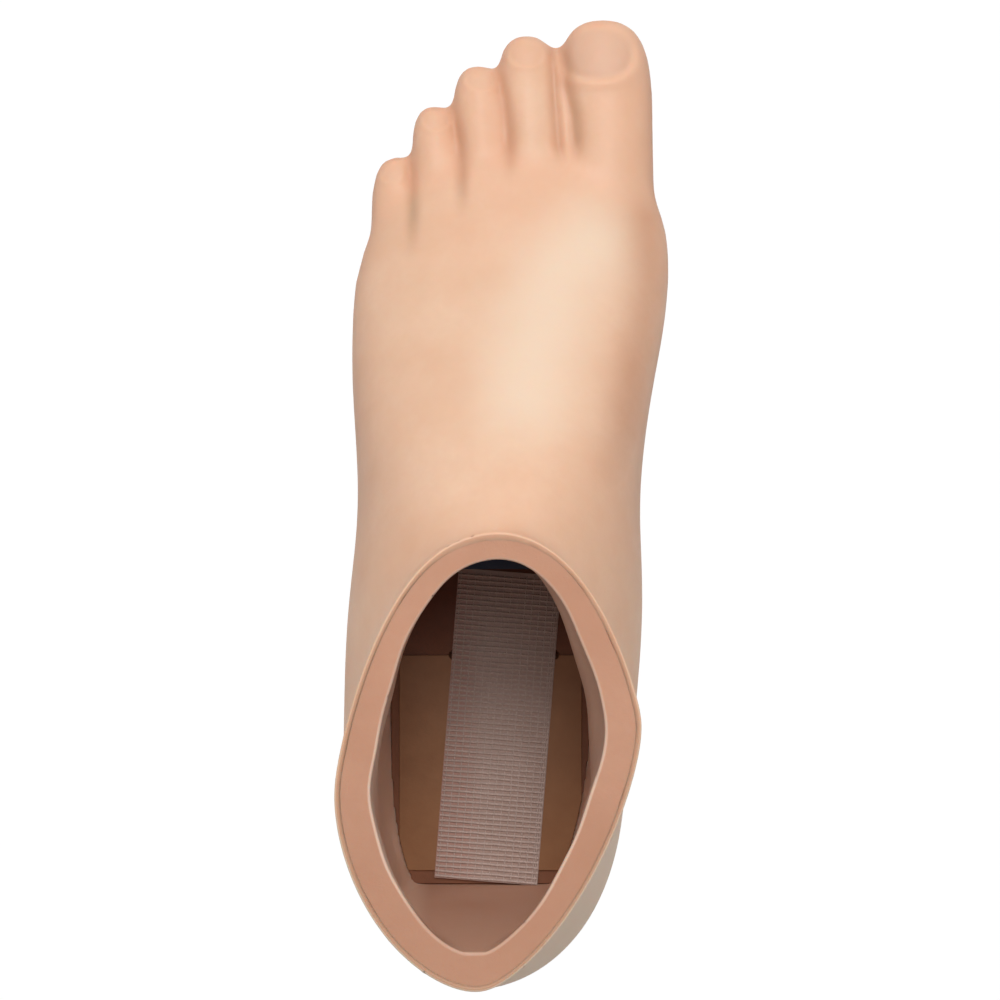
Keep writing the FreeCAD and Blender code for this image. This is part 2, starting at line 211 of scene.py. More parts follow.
def smooth_step(low: float, high: float, x: np.ndarray) -> np.ndarray:
    """A smooth step from one value to another, which runs downwards where low is above high.

    Args:
        low: Where it is still 0.
        high: Where it is 1.
        x: The values.

    Returns:
        A share from 0 to 1 for each value.
    """
    t = np.clip((x - low) / (high - low), 0, 1)
    return t * t * (3 - 2 * t)


def bump(x: np.ndarray, middle: float | np.ndarray, width: float) -> np.ndarray:
    """A rounded hill of height 1 at the middle that has nearly gone one width away from it."""
    return np.exp(-(((x - middle) / (0.5 * width)) ** 2))


def around(points: np.ndarray, centre: tuple[float, ...], width: float) -> np.ndarray:
    """A rounded hill of height 1 round a place.

    Args:
        points: The points, one row each, in millimetres.
        centre: The place, with two numbers where height doesn't matter and three where it does.
        width: How far off the hill has nearly gone, in millimetres.

    Returns:
        The hill's height at each point.
    """
    away = points[:, : len(centre)] - np.array(centre)
    return bump(np.linalg.norm(away, axis=1), 0.0, width)


def soften(piece: bpy.types.Object, weights: np.ndarray, rounds: int) -> None:
    """Smooths an object's vertices, each as much as its weight says.

    Args:
        piece: The object.
        weights: A weight for each vertex, from 0 to 1, used in steps of a tenth.
        rounds: How many times it is smoothed.
    """
    group = piece.vertex_groups.new(name="soften")
    for level in range(1, 11):
        chosen = np.flatnonzero(np.round(weights * 10) == level)
        if len(chosen):
            group.add(chosen.tolist(), level / 10, "REPLACE")
    finish_modifier(piece, "SMOOTH", factor=0.5, iterations=rounds, vertex_group="soften")
    piece.vertex_groups.clear()


@dataclass(frozen=True)
class Crease:
    """A soft valley or ridge that follows a line over the foot's upper side.

    Attributes:
        path: Points of the line seen from above, in millimetres.
        width: Its full width, in millimetres.
        rise: Height of a ridge, or a valley's depth below zero, in millimetres.
        shade: How much painted shade darkens it, from 0 to 1.
        fade: Length over which it dies out at its back end, in millimetres.
    """

    path: tuple[tuple[float, float], ...]
    width: float
    rise: float
    shade: float = 0.0
    fade: float = 6.0

    def strength(self, points: np.ndarray) -> np.ndarray:
        """How much of it each point gets.

        Args:
            points: The points, one row each, in millimetres.

        Returns:
            A share from 0 to 1 for each point.
        """
        corners = np.array(self.path)
        nearest = np.full(len(points), np.inf)
        along = np.zeros(len(points))
        start = 0.0
        for first, second in zip(corners[:-1], corners[1:]):
            run = second - first
            length = float(np.linalg.norm(run))
            share = np.clip((points[:, :2] - first) @ run / length**2, 0, 1)
            away = np.linalg.norm(points[:, :2] - first - share[:, None] * run, axis=1)
            closer = away < nearest
            nearest = np.where(closer, away, nearest)
            along = np.where(closer, start + share * length, along)
            start += length
        return bump(nearest, 0.0, self.width) * smooth_step(start, start - self.fade, along)


@dataclass(frozen=True)
class Nail:
    """A toenail moulded into the skin: a plate in a fold.

    Attributes:
        centre: Its middle seen from above, in millimetres.
        half: Half its width and half its length, in millimetres.
        fold: Height of the fold of skin round it, in millimetres.
        tint: How plainly its colour shows, from 0 to 1.
    """

    centre: tuple[float, float]
    half: tuple[float, float]
    fold: float
    tint: float

    def radius(self, points: np.ndarray) -> np.ndarray:
        """Distance of each point from the middle, where 1 is the plate's edge."""
        u, v = ((points[:, :2] - np.array(self.centre)) / np.array(self.half)).T
        return (np.abs(u) ** NAIL_POWER + np.abs(v) ** NAIL_POWER) ** (1 / NAIL_POWER)

    def relief(self, points: np.ndarray) -> np.ndarray:
        """The fold, the groove inside it and the plate's slight hollow.

        Args:
            points: The points, one row each, in millimetres.

        Returns:
            The height that they add to each point, in millimetres.
        """
        r = self.radius(points)
        behind = smooth_step(0.6, -0.1, (points[:, 1] - self.centre[1]) / self.half[1])
        fold = bump(r, 1.24, 0.5) * behind
        groove = bump(r, 0.98, 0.28) * behind
        hollow = smooth_step(1.0, 0.5, r)
        return self.fold * (fold - 0.75 * groove - 0.35 * hollow)


# ---------------------------------------------------------------------------------------------------------
# Materials
# ---------------------------------------------------------------------------------------------------------
class Shader:
    """A material's nodes, with a Principled BSDF, and short ways to add to them."""

    def __init__(self, name: str, roughness: float, **constants: float) -> None:
        """Makes a material with constants set on its Principled BSDF's own sockets.

        Args:
            name: The material's name.
            roughness: The Principled BSDF's roughness.
            constants: Other sockets' values, with an underscore for each space in a name.
        """
        self.material = bpy.data.materials.new(name)
        self.material.use_nodes = True
        self.tree = self.material.node_tree
        self.bsdf = self.tree.nodes["Principled BSDF"]
        self.bsdf.inputs["Roughness"].default_value = roughness
        for socket, value in constants.items():
            self.bsdf.inputs[socket.replace("_", " ")].default_value = value
        self.coords = self.node("ShaderNodeTexCoord").outputs["Object"]

    def node(self, kind: str, **inputs: object) -> bpy.types.Node:
        """Adds a node.

        Args:
            kind: The node's type.
            inputs: Its inputs, with an underscore for each space in a name.

        Returns:
            The node.
        """
        made = self.tree.nodes.new(kind)
        for name, value in inputs.items():
            self.feed(made.inputs[name.replace("_", " ")], value)
        return made

    def feed(self, socket: bpy.types.NodeSocket, value: object) -> None:
        """Links a socket to another one, or sets its value."""
        if isinstance(value, bpy.types.NodeSocket):
            self.tree.links.new(value, socket)
        else:
            socket.default_value = value

    def noise(self, scale: float, detail: float = 3.0) -> bpy.types.NodeSocket:
        """Noise over the object's own coordinates."""
        made = self.node("ShaderNodeTexNoise", Vector=self.coords, Scale=scale, Detail=detail, Roughness=0.55)
        return made.outputs["Fac"]

    def remap(
        self, value: object, low: float, high: float, to: tuple[float, float] = (0.0, 1.0)
    ) -> bpy.types.NodeSocket:
        """Stretches a value to another range and clamps it.

        Args:
            value: The value.
            low: What becomes the new range's first number.
            high: What becomes its second number.
            to: The new range.

        Returns:
            The new value.
        """
        made = self.node("ShaderNodeMapRange", Value=value)
        for name, number in (("From Min", low), ("From Max", high), ("To Min", to[0]), ("To Max", to[1])):
            made.inputs[name].default_value = number
        return made.outputs["Result"]

    def mix(self, share: object, first: object, second: object, blend: str = "MIX") -> bpy.types.NodeSocket:
        """Mixes two colours by a share.

        Args:
            share: How much of the second there is, from 0 to 1.
            first: A colour.
            second: Another colour.
            blend: How they are mixed, MIX or MULTIPLY.

        Returns:
            The mixed colour.
        """
        made = self.tree.nodes.new("ShaderNodeMix")
        made.data_type, made.blend_type = "RGBA", blend
        self.feed(made.inputs[0], share)
        for socket, value in ((made.inputs[6], first), (made.inputs[7], second)):
            self.feed(socket, (*value, 1.0) if isinstance(value, tuple) else value)
        return made.outputs[2]

    def attribute(self, name: str) -> bpy.types.NodeSocket:
        """A value painted on the piece."""
        made = self.tree.nodes.new("ShaderNodeAttribute")
        made.attribute_name = name
        return made.outputs["Fac"]

    def group(self, tree: bpy.types.NodeTree, **inputs: object) -> bpy.types.Node:
        """Adds a shared node group.

        Args:
            tree: The group.
            inputs: Its inputs, with an underscore for each space in a name.

        Returns:
            The group's node.
        """
        made = self.tree.nodes.new("ShaderNodeGroup")
        made.node_tree = tree
        for name, value in inputs.items():
            self.feed(made.inputs[name.replace("_", " ")], value)
        return made

    def finish(self, colour: object, roughness: object = None, normal: object = None) -> bpy.types.Material:
        """Connects what changes over the surface.

        Args:
            colour: The base colour.
            roughness: The roughness, or nothing where it is the same all over.
            normal: The normal, or nothing where there is no relief.

        Returns:
            The material.
        """
        self.feed(self.bsdf.inputs["Base Color"], (*colour, 1.0) if isinstance(colour, tuple) else colour)
        if roughness is not None:
            self.feed(self.bsdf.inputs["Roughness"], roughness)
        if normal is not None:
            self.feed(self.bsdf.inputs["Normal"], normal)
        return self.material


def grain_group() -> bpy.types.NodeTree:
    """The fine grain that a mould leaves on an elastomer, as a height made of pebbles and pores.

    Returns:
        The node group.
    """
    tree = bpy.data.node_groups.new("mould_grain", "ShaderNodeTree")
    face = tree.interface
    face.new_socket("Vector", in_out="INPUT", socket_type="NodeSocketVector")
    for name, value in (("Pebble Scale", 900.0), ("Pore Scale", 1500.0), ("Pore Depth", 0.5)):
        face.new_socket(name, in_out="INPUT", socket_type="NodeSocketFloat").default_value = value
    face.new_socket("Height", in_out="OUTPUT", socket_type="NodeSocketFloat")
    nodes, link = tree.nodes, tree.links.new
    given, result = nodes.new("NodeGroupInput"), nodes.new("NodeGroupOutput")
    pebble, pore = nodes.new("ShaderNodeTexNoise"), nodes.new("ShaderNodeTexVoronoi")
    pebble.inputs["Detail"].default_value = 2.0
    for texture, scale in ((pebble, "Pebble Scale"), (pore, "Pore Scale")):
        link(given.outputs["Vector"], texture.inputs["Vector"])
        link(given.outputs[scale], texture.inputs["Scale"])
    dots = nodes.new("ShaderNodeMapRange")
    dots.inputs["From Min"].default_value, dots.inputs["From Max"].default_value = 0.05, 0.25
    link(pore.outputs["Distance"], dots.inputs["Value"])
    depth, total = nodes.new("ShaderNodeMath"), nodes.new("ShaderNodeMath")
    depth.operation, total.operation = "MULTIPLY", "ADD"
    link(dots.outputs["Result"], depth.inputs[0])
    link(given.outputs["Pore Depth"], depth.inputs[1])
    link(pebble.outputs["Fac"], total.inputs[0])
    link(depth.outputs[0], total.inputs[1])
    link(total.outputs[0], result.inputs["Height"])
    return tree


@dataclass(frozen=True)
class Elastomer:
    """A pigmented, moulded elastomer, or a foam of it.

    Attributes:
        name: The material's name.
        light: Colour where the pigment is thin.
        deep: Colour where it is thick.
        blush: Colour where the piece's blush is painted.
        roughness: How matt it is.
        pebble: Scale of the grain.
        relief: Depth of the grain, in millimetres.
        pores: How deep the pores are beside the grain.
        scatter: How far light spreads in it, in millimetres, or 0.
        nail: Colour of the nails, or of the wall's painted highlights on its inner edge and left side.
        pale: Colour of painted highlights on the skin's crest and heel.
        cut: Colour of its cut edge.
    """

    name: str
    light: Colour
    deep: Colour
    blush: Colour
    roughness: float
    pebble: float = 900.0
    relief: float = 0.05
    pores: float = 0.3
    scatter: float = 0.0
    nail: Colour = (0.74, 0.445, 0.31)
    pale: Colour = (0.86, 0.625, 0.465)
    cut: Colour = (0.60, 0.33, 0.21)

    def make(self, grain: bpy.types.NodeTree) -> bpy.types.Material:
        """Builds the material.

        Args:
            grain: The shared grain group.

        Returns:
            The material.
        """
        shader = Shader(self.name, self.roughness, Specular_IOR_Level=0.35)
        if self.scatter:
            shader.bsdf.inputs["Subsurface Weight"].default_value = 0.35
            shader.bsdf.inputs["Subsurface Scale"].default_value = self.scatter * MM
            shader.bsdf.inputs["Subsurface Radius"].default_value = SKIN_SPREAD
        cloud = shader.remap(shader.noise(38.0, 4.0), 0.34, 0.68)
        speckle = shader.remap(shader.noise(420.0, 2.0), 0.35, 0.7, (0.0, 0.22))
        colour = shader.mix(cloud, self.light, self.deep)
        colour = shader.mix(speckle, colour, self.deep)
        colour = shader.mix(shader.attribute("blush"), colour, self.blush)
        # The nails on the skin; painted highlights on the wall.
        colour = shader.mix(shader.attribute("nail"), colour, self.nail)
        # Painted highlights.
        colour = shader.mix(shader.attribute("pale"), colour, self.pale)
        colour = shader.mix(shader.attribute("cut"), colour, self.cut)
        # Painted shade: darkens the colour where the shade value is painted.
        colour = shader.mix(shader.attribute("shade"), colour, PAINTED_SHADE_TINT, "MULTIPLY")
        relief = shader.group(grain, Vector=shader.coords, Pebble_Scale=self.pebble)
        relief.inputs["Pore Scale"].default_value = self.pebble * 1.6
        relief.inputs["Pore Depth"].default_value = self.pores
        bumps = shader.node("ShaderNodeBump", Height=relief.outputs["Height"])
        bumps.inputs["Strength"].default_value = 1.0
        bumps.inputs["Distance"].default_value = self.relief * MM
        gloss = shader.remap(shader.noise(60.0), 0.3, 0.7, (self.roughness - 0.06, self.roughness + 0.08))
        return shader.finish(colour, gloss, bumps.outputs["Normal"])


@dataclass(frozen=True)
class Thread:
    """Spun thread of the woven strip.

    Attributes:
        name: The material's name.
        colour: Colour of the fibres.
        shadow: Colour between them.
    """

    name: str
    colour: Colour
    shadow: Colour

    def make(self) -> bpy.types.Material:
        """Builds the material."""
        shader = Shader(self.name, 0.62, Specular_IOR_Level=0.3)
        fibre = shader.remap(shader.noise(2600.0, 2.0), 0.35, 0.65)
        patch = shader.remap(shader.noise(70.0, 3.0), 0.3, 0.75, (0.0, 0.55))
        colour = shader.mix(fibre, self.shadow, self.colour)
        colour = shader.mix(patch, colour, self.shadow)
        bumps = shader.node("ShaderNodeBump", Height=fibre)
        bumps.inputs["Distance"].default_value = 0.04 * MM
        return shader.finish(colour, None, bumps.outputs["Normal"])


SKIN = Elastomer("skin_elastomer", (0.85, 0.555, 0.39), (0.79, 0.47, 0.31), (0.85, 0.43, 0.27), 0.50,
                 pebble=800.0, relief=0.035, pores=0.25, scatter=3.0)
CUT_FOAM = Elastomer("cut_wall_foam", (0.62, 0.33, 0.215), (0.56, 0.285, 0.18), (0.64, 0.39, 0.28), 0.66,
                     pebble=1100.0, relief=0.05, pores=0.6, scatter=1.5, nail=(0.86, 0.62, 0.48))
CUSHION_FOAM = Elastomer("cushion_foam", (0.25, 0.10, 0.05), (0.18, 0.07, 0.034), (0.5, 0.3, 0.2), 0.6,
                         pebble=700.0, relief=0.06, pores=0.5)
LINER_FILM = Elastomer("liner_film", (0.34, 0.165, 0.075), (0.26, 0.12, 0.052), (0.5, 0.3, 0.2), 0.5,
                       pebble=1300.0, relief=0.03, pores=0.2)
FILLER_FOAM = Elastomer("filler_foam", (0.058, 0.086, 0.15), (0.043, 0.063, 0.1), (0.15, 0.21, 0.34), 0.7,
                        pebble=900.0, relief=0.07, pores=0.8)
STRIP_THREAD = Thread("strip_thread", (0.62, 0.50, 0.45), (0.44, 0.34, 0.30))
STRIP_BASE = Elastomer("strip_resin", (0.50, 0.37, 0.32), (0.42, 0.30, 0.25), (0.46, 0.28, 0.23), 0.45,
                       pebble=1500.0, relief=0.02, pores=0.1)


def dress(piece: bpy.types.Object, node: Node, material: bpy.types.Material) -> None:
    """Gives a piece its material and its body, and hides the frame node that it stands for.

    Args:
        piece: The piece.
        node: The frame's piece that it stands for.
        material: Its material.
    """
    piece.data.materials.clear()
    piece.data.materials.append(material)
    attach(piece, BODY)
    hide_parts(node.value)


# ---------------------------------------------------------------------------------------------------------
# Skin and wall
# ---------------------------------------------------------------------------------------------------------
def carry_up(piece: bpy.types.Object, lip: float) -> None:
    """Carries a piece's open edge on upward and closes it there."""
    with editing(piece, "EDGE"):
        select(piece, "edges", lambda e: e.is_boundary)
        bpy.ops.mesh.extrude_edges_move(TRANSFORM_OT_translate={"value": (0, 0, lip * MM)})
        bpy.ops.mesh.fill()


def cut_flat(piece: bpy.types.Object, rim: float) -> None:
    """Cuts a piece off at the rim, and leaves it open there."""
    with editing(piece, "EDGE"):
        bpy.ops.mesh.select_all(action="SELECT")
        bpy.ops.mesh.bisect(plane_co=(0, 0, rim), plane_no=(0, 0, 1), clear_outer=True)
        bpy.ops.mesh.select_all(action="DESELECT")
        mesh = bmesh.from_edit_mesh(piece.data)
        for vertex in mesh.verts:
            if vertex.is_boundary:
                vertex.co.z = rim


def rim_loop(piece: bpy.types.Object, longest: bool) -> set[tuple[float, float]]:
    """Where the vertices of one of a piece's open loops are, seen from above.

    Args:
        piece: The piece, in edit mode and open at the rim only.
        longest: Whether the longest loop is wanted, or the shortest.

    Returns:
        The vertices' places, across and along the foot, in metres.
    """
    mesh = bmesh.from_edit_mesh(piece.data)
    left = {vertex for vertex in mesh.verts if vertex.is_boundary}
    loops = []
    while left:
        loop, edge = set(), [left.pop()]
        while edge:
            vertex = edge.pop()
            loop.add((vertex.co.x, vertex.co.y))
            near = {e.other_vert(vertex) for e in vertex.link_edges if e.is_boundary} & left
            left -= near
            edge.extend(near)
        loops.append(loop)
    loops.sort(key=lambda loop: max(y for _, y in loop) - min(y for _, y in loop))
    return loops[-1] if longest else loops[0]


def close_rim(piece: bpy.types.Object, width: float, outer: bool) -> None:
    """Fills the flat cut edge between a piece's open loops, and rounds one of its arrises off.

    Args:
        piece: The piece, open at the rim only.
        width: Width of the rounding, in millimetres.
        outer: Whether the outer arris is rounded, or the inner one.
    """
    with editing(piece, "EDGE"):
        loop = rim_loop(piece, outer)
        select(piece, "edges", lambda e: e.is_boundary)
        bpy.ops.mesh.fill()
        bpy.ops.mesh.region_to_loop()
        mesh = bmesh.from_edit_mesh(piece.data)
        for edge in mesh.edges:
            if edge.select and any((v.co.x, v.co.y) not in loop for v in edge.verts):
                edge.select_set(False)
        bpy.ops.mesh.bevel(offset=width * MM, segments=3, affect="EDGES")
    shade(piece, 50)


# Grooves between the toes, with painted shade in them.
GROOVES = (
    Crease(((12.4, 123.0), (12.8, 108.0), (14.4, 88.0)), 3.2, -1.0, 0.5, 8.0),
    Crease(((14.6, 123.5), (16.1, 110.4), (18.0, 102.9), (19.0, 88.5)), 4.0, -1.2, 0.5, 8.0),
    Crease(((-2.9, 118.0), (-0.9, 107.9), (0.3, 99.6), (0.9, 83.0)), 3.8, -0.9, 0.5, 12.0),
    Crease(((-15.2, 106.5), (-12.9, 95.5), (-12.3, 88.0), (-12.1, 73.0)), 3.8, -0.9, 0.5, 12.0),
    Crease(((-27.0, 93.5), (-25.9, 83.1), (-25.7, 77.0), (-26.1, 61.0)), 3.8, -0.9, 0.45, 16.0),
)
WEB = Crease(((13.6, 120.0), (15.1, 106.4), (16.9, 86.0)), 2.6, 0.5)
CLEFT = Crease(((11.2, 120.0), (12.4, 106.4), (14.2, 86.0)), 15.0, 0.0)
ROOTS = Crease(((40, 76), (28, 84), (18, 90), (1, 88), (-12, 81), (-26, 71), (-40, 58)), 26.0, 0.0, fade=0.1)
# Painted shade in a band down the inner side of the foot.
MEDIAL = Crease(((37.5, 74), (38, 55), (33.5, 35), (29, 12), (27.5, -8)), 13.0, -0.3, 0.55, 30.0)
# Painted highlight along the instep's crest, as well as a low ridge.
CREST = Crease(((22, 66), (13, 57), (6, 36), (3, 18), (2, 6)), 26.0, 0.25, 0.0, 20.0)
CREASES = (*GROOVES, WEB, MEDIAL, CREST)
NAILS = (
    Nail((24.5, 119.6), (9.0, 6.9), 0.55, 0.9),
    Nail((5.2, 120.2), (4.2, 3.2), 0.24, 0.25),
    Nail((-7.2, 114.0), (3.7, 3.2), 0.22, 0.2),
    Nail((-19.4, 103.0), (3.3, 2.9), 0.20, 0.2),
    Nail((-31.8, 88.6), (2.8, 2.5), 0.18, 0.15),
)
TOE_TIPS = ((24.0, 127.0), (3.6, 123.0), (-8.4, 118.0), (-20.6, 107.0), (-33.2, 92.0))


@dataclass
class FootSkin:
    """The pigmented skin: the foot's outside, with toes, nails and creases, as a closed shell.

    Attributes:
        voxel: Size of the mesh's faces, in millimetres.
        lip: How far the outside is carried on above the rim before it is cut there, in millimetres.
        arris: Rounding of the rim's edges, in millimetres.
        toes_from: Where the finer mesh of the toes starts, along the foot, in millimetres.
        soft_width: Width of the strip along each groove that is softened first, in millimetres.
    """

    voxel: float = 1.2
    lip: float = 5.0
    arris: float = 0.6
    toes_from: float = 58.0
    soft_width: float = 9.0

    def build(self, frame: dict, material: bpy.types.Material) -> bpy.types.Object:
        """Makes the skin from the frame's skin node and dresses it.

        Args:
            frame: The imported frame.
            material: The skin's material.

        Returns:
            The piece.
        """
        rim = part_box(Node.SKIN.value)[1].z
        outside, inside = self.two_sides(frame["nodes"][Node.SKIN.value], rim)
        carry_up(outside, self.lip)
        finish_modifier(outside, "REMESH", mode="VOXEL", voxel_size=self.voxel * MM)
        finish_modifier(outside, "SMOOTH", factor=0.5, iterations=5)
        self.sculpt(outside)
        cut_flat(outside, rim)
        pick(outside, inside)
        bpy.ops.object.join()
        outside.name = outside.data.name = "foot_skin"
        close_rim(outside, self.arris, outer=True)
        self.colour(outside, rim / MM)
        dress(outside, Node.SKIN, material)
        return outside

    def sculpt(self, piece: bpy.types.Object) -> None:
        """Gives the toes a finer mesh, softens where they part, and works the creases and nails in."""
        start = self.toes_from * MM
        with editing(piece, "FACE"):
            select(piece, "faces", lambda f: f.calc_center_median().y > start and f.normal.z > -0.2)
            bpy.ops.mesh.subdivide(number_cuts=1)
        points = points_of(piece)
        near = np.max([replace(c, width=self.soft_width).strength(points) for c in GROOVES], axis=0)
        high = smooth_step(2.0, 7.0, points[:, 2])
        fine = smooth_step(self.toes_from, self.toes_from + 4, points[:, 1])
        soften(piece, np.clip(near * high + 0.3 * fine, 0, 1), 70)
        cleft = CLEFT.strength(points) * smooth_step(121.0, 115.0, points[:, 1])
        soften(piece, np.maximum(0.95 * ROOTS.strength(points), cleft) * high * fine, 240)
        points, upper = points_of(piece), smooth_step(0.0, 0.45, normals_of(piece)[:, 2])
        rise = sum(c.rise * c.strength(points) for c in CREASES)
        rise = rise + sum(nail.relief(points) for nail in NAILS)
        points[:, 2] += rise * upper
        set_points(piece, points)
        soften(piece, 0.5 * fine, 3)

    def colour(self, piece: bpy.types.Object, rim: float) -> None:
        """Paints painted shade in the creases and on the sides, the pinker toes, the nails, painted highlights
        on the crest and heel, and the cut rim.

        Args:
            piece: The finished skin.
            rim: Height of the rim, in millimetres.
        """
        points, upper = points_of(piece), smooth_step(-0.1, 0.5, normals_of(piece)[:, 2])
        outer = points[:, 2] > 0
        cleft = CLEFT.strength(points)
        # Painted shade: darker in the grooves and the medial band, and on the steeper sides of the instep and
        # forefoot.
        shade = np.max([c.shade * c.strength(points) for c in CREASES if c.shade], axis=0) * upper
        side_shade = smooth_step(0.85, 0.25, normals_of(piece)[:, 2]) * smooth_step(-45.0, 0.0, points[:, 1])
        paint(piece, "shade", np.maximum(shade, 0.32 * side_shade))
        tips = np.max([around(points, tip, 11.0) for tip in TOE_TIPS], axis=0) * (1 - cleft)
        nails = np.max([nail.tint * smooth_step(1.2, 0.8, nail.radius(points)) for nail in NAILS], axis=0)
        forefoot = 0.3 * smooth_step(45.0, 85.0, points[:, 1])
        paint(piece, "blush", np.maximum(forefoot, 0.6 * tips * (1 - nails)) * outer * (1 - 0.8 * cleft))
        paint(piece, "nail", nails * upper)
        # Painted highlight along the crest, and painted light on the heel's outside.
        painted_heel_light = smooth_step(-62.0, -92.0, points[:, 1])
        paint(piece, "pale", np.maximum(CREST.strength(points) * upper, painted_heel_light))
        paint(piece, "cut", smooth_step(rim - 0.06, rim - 0.01, points[:, 2]))

    def two_sides(self, node: bpy.types.Object, rim: float) -> tuple[bpy.types.Object, bpy.types.Object]:
        """Takes the cut edge off a copy of the node and parts the outside from the inside.

        Args:
            node: The frame's skin.
            rim: Height of the rim, in metres.

        Returns:
            The outside and the inside.
        """
        copy = copy_of(node, "foot_skin")
        with editing(copy, "FACE"):
            select(copy, "faces", lambda f: min(v.co.z for v in f.verts) > rim - FLAT * MM)
            bpy.ops.mesh.delete(type="FACE")
            bpy.ops.mesh.select_all(action="SELECT")
            bpy.ops.mesh.separate(type="LOOSE")
        halves = sorted(bpy.context.selected_objects, key=lambda o: o.dimensions.y)
        return halves[-1], halves[-2]


@dataclass
class FoamWall:
    """The structural foam wall, with its flat cut end at the rim and the hollow's inside.

    Attributes:
        voxel: Size of the mesh's faces, in millimetres.
        lip: How far the wall is carried on above the rim before it is cut there, in millimetres.
        arris: Rounding of the rim's edges, in millimetres.
        nick: Where the inner edge is nicked, seen from above.
        dark_spot: Where the back wall is painted darker round a spot.
        middle: A place inside the hollow, seen from above.
    """

    voxel: float = 1.2
    lip: float = 5.0
    arris: float = 0.8
    nick: tuple[float, float] = (21.2, -67.9)
    dark_spot: tuple[float, float, float] = (-9.5, -109.0, 38.0)
    middle: tuple[float, float] = (-3.0, -66.0)

    def build(self, frame: dict, material: bpy.types.Material) -> bpy.types.Object:
        """Makes the wall from the frame's wall node and dresses it.

        Args:
            frame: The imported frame.
            material: The wall's material.

        Returns:
            The piece.
        """
        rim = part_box(Node.WALL.value)[1].z
        piece = copy_of(frame["nodes"][Node.WALL.value], "ankle_wall")
        with editing(piece, "FACE"):
            select(piece, "faces", lambda f: min(v.co.z for v in f.verts) > rim - FLAT * MM)
            bpy.ops.mesh.extrude_region_move(TRANSFORM_OT_translate={"value": (0, 0, self.lip * MM)})
        finish_modifier(piece, "REMESH", mode="VOXEL", voxel_size=self.voxel * MM)
        finish_modifier(piece, "SMOOTH", factor=0.5, iterations=4)
        cut_flat(piece, rim)
        close_rim(piece, self.arris, outer=False)
        self.weather(piece, rim / MM)
        dress(piece, Node.WALL, material)
        return piece

    def weather(self, piece: bpy.types.Object, rim: float) -> None:
        """Makes the hand-trimmed inside a little uneven, nicks its edge and paints it, with painted highlights
        and painted shade.

        The outer side is moved out a little near the rim, so that no gap shows between wall and skin.

        Args:
            piece: The wall.
            rim: Height of the rim, in millimetres.
        """
        points = points_of(piece)
        x, y, z = points.T
        inside = smooth_step(0.0, 1.0, z - 14.0)
        ripple = 0.22 * np.sin(y / 6.5 + z / 23.0) + 0.14 * np.sin(y / 2.9 - z / 9.0 + 1.3)
        points[:, 0] += ripple * inside
        nick = around(points, (*self.nick, rim), 3.4)
        face = smooth_step(rim - 0.12, rim - 0.02, z.copy())
        normals = normals_of(piece)[:, :2]
        outward = ((points[:, :2] - np.array(self.middle)) * normals).sum(axis=1) > 0
        points[:, :2] += 0.3 * normals * (outward * smooth_step(30.0, 60.0, z))[:, None]
        points[:, 2] -= 0.03 * face
        points[:, 2] -= 0.7 * nick * (1 - face)
        set_points(piece, points)
        paint(piece, "blush", 1 - face)
        # Painted highlights: a pale line along the inner arris, stronger at the back, and the lit left inner
        # wall; the nick is painted pale too.
        behind = smooth_step(-20.0, -75.0, y) * smooth_step(rim - 6.0, rim - 1.0, z)
        left = smooth_step(-20.0, -26.0, x) * smooth_step(-45.0, -60.0, y)
        edge = bump(z, rim - 0.4, 0.9) * (0.25 + 0.75 * behind)
        paint(piece, "nail", np.maximum.reduce([edge, nick, 0.9 * left]) * (1 - face))
        # Painted shade on the back wall, and a darker spot there.
        back = smooth_step(-88.0, -106.0, y) * (1 - face)
        paint(piece, "shade", 0.5 * back + 0.15 * around(points, self.dark_spot, 16.0))


@dataclass
class FoamPad:
    """A moulded foam piece of the sole: the frame's piece with a fine, softened mesh.

    Attributes:
        node: The frame's piece.
        name: The new piece's name.
        slot: The slot of its finish; not used.
        voxel: Size of the mesh's faces, in millimetres.
        rounds: How much it is smoothed.
        painted_shade_from: Where its painted shade under the instep starts, in millimetres.
    """

    node: Node
    name: str
    slot: str
    voxel: float
    rounds: int
    painted_shade_from: float = 200.0

    def build(self, frame: dict, material: bpy.types.Material) -> bpy.types.Object:
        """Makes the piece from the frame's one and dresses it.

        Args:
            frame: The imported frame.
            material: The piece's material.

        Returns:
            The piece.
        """
        piece = copy_of(frame["nodes"][self.node.value], self.name)
        finish_modifier(piece, "REMESH", mode="VOXEL", voxel_size=self.voxel * MM)
        finish_modifier(piece, "SMOOTH", factor=0.5, iterations=self.rounds)
        shade(piece, 50)
        # Painted shade under the instep, deeper towards the front.
        paint(piece, "shade", smooth_step(self.painted_shade_from, self.painted_shade_from + 26.0, points_of(piece)[:, 1]))
        dress(piece, self.node, material)
        return piece


# ---------------------------------------------------------------------------------------------------------
# Liner and woven strip
# ---------------------------------------------------------------------------------------------------------
@dataclass
class SeatLiner:
    """The thin liner that is glued on the seat.

    Attributes:
        arris: Rounding of its edges, in millimetres.
    """

    arris: float = 0.15

    def build(self, frame: dict, material: bpy.types.Material) -> bpy.types.Object:
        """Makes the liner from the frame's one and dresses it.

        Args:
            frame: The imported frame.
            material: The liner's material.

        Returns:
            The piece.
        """
        piece = copy_of(frame["nodes"][Node.LINER.value], "seat_film")
        low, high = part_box(Node.LINER.value)
        with editing(piece, "FACE"):
            bpy.ops.mesh.select_all(action="SELECT")
            bpy.ops.mesh.dissolve_limited(angle_limit=math.radians(2))
        finish_modifier(piece, "BEVEL", width=self.arris * MM, segments=2, limit_method="ANGLE")
        shade(piece, 40)
        dress(piece, Node.LINER, material)
        area = sum(face.area for face in piece.data.polygons if face.normal.z > 0.9)
        flat = (high.x - low.x, high.y - low.y)
        area = min(area, flat[0] * flat[1])
        return piece


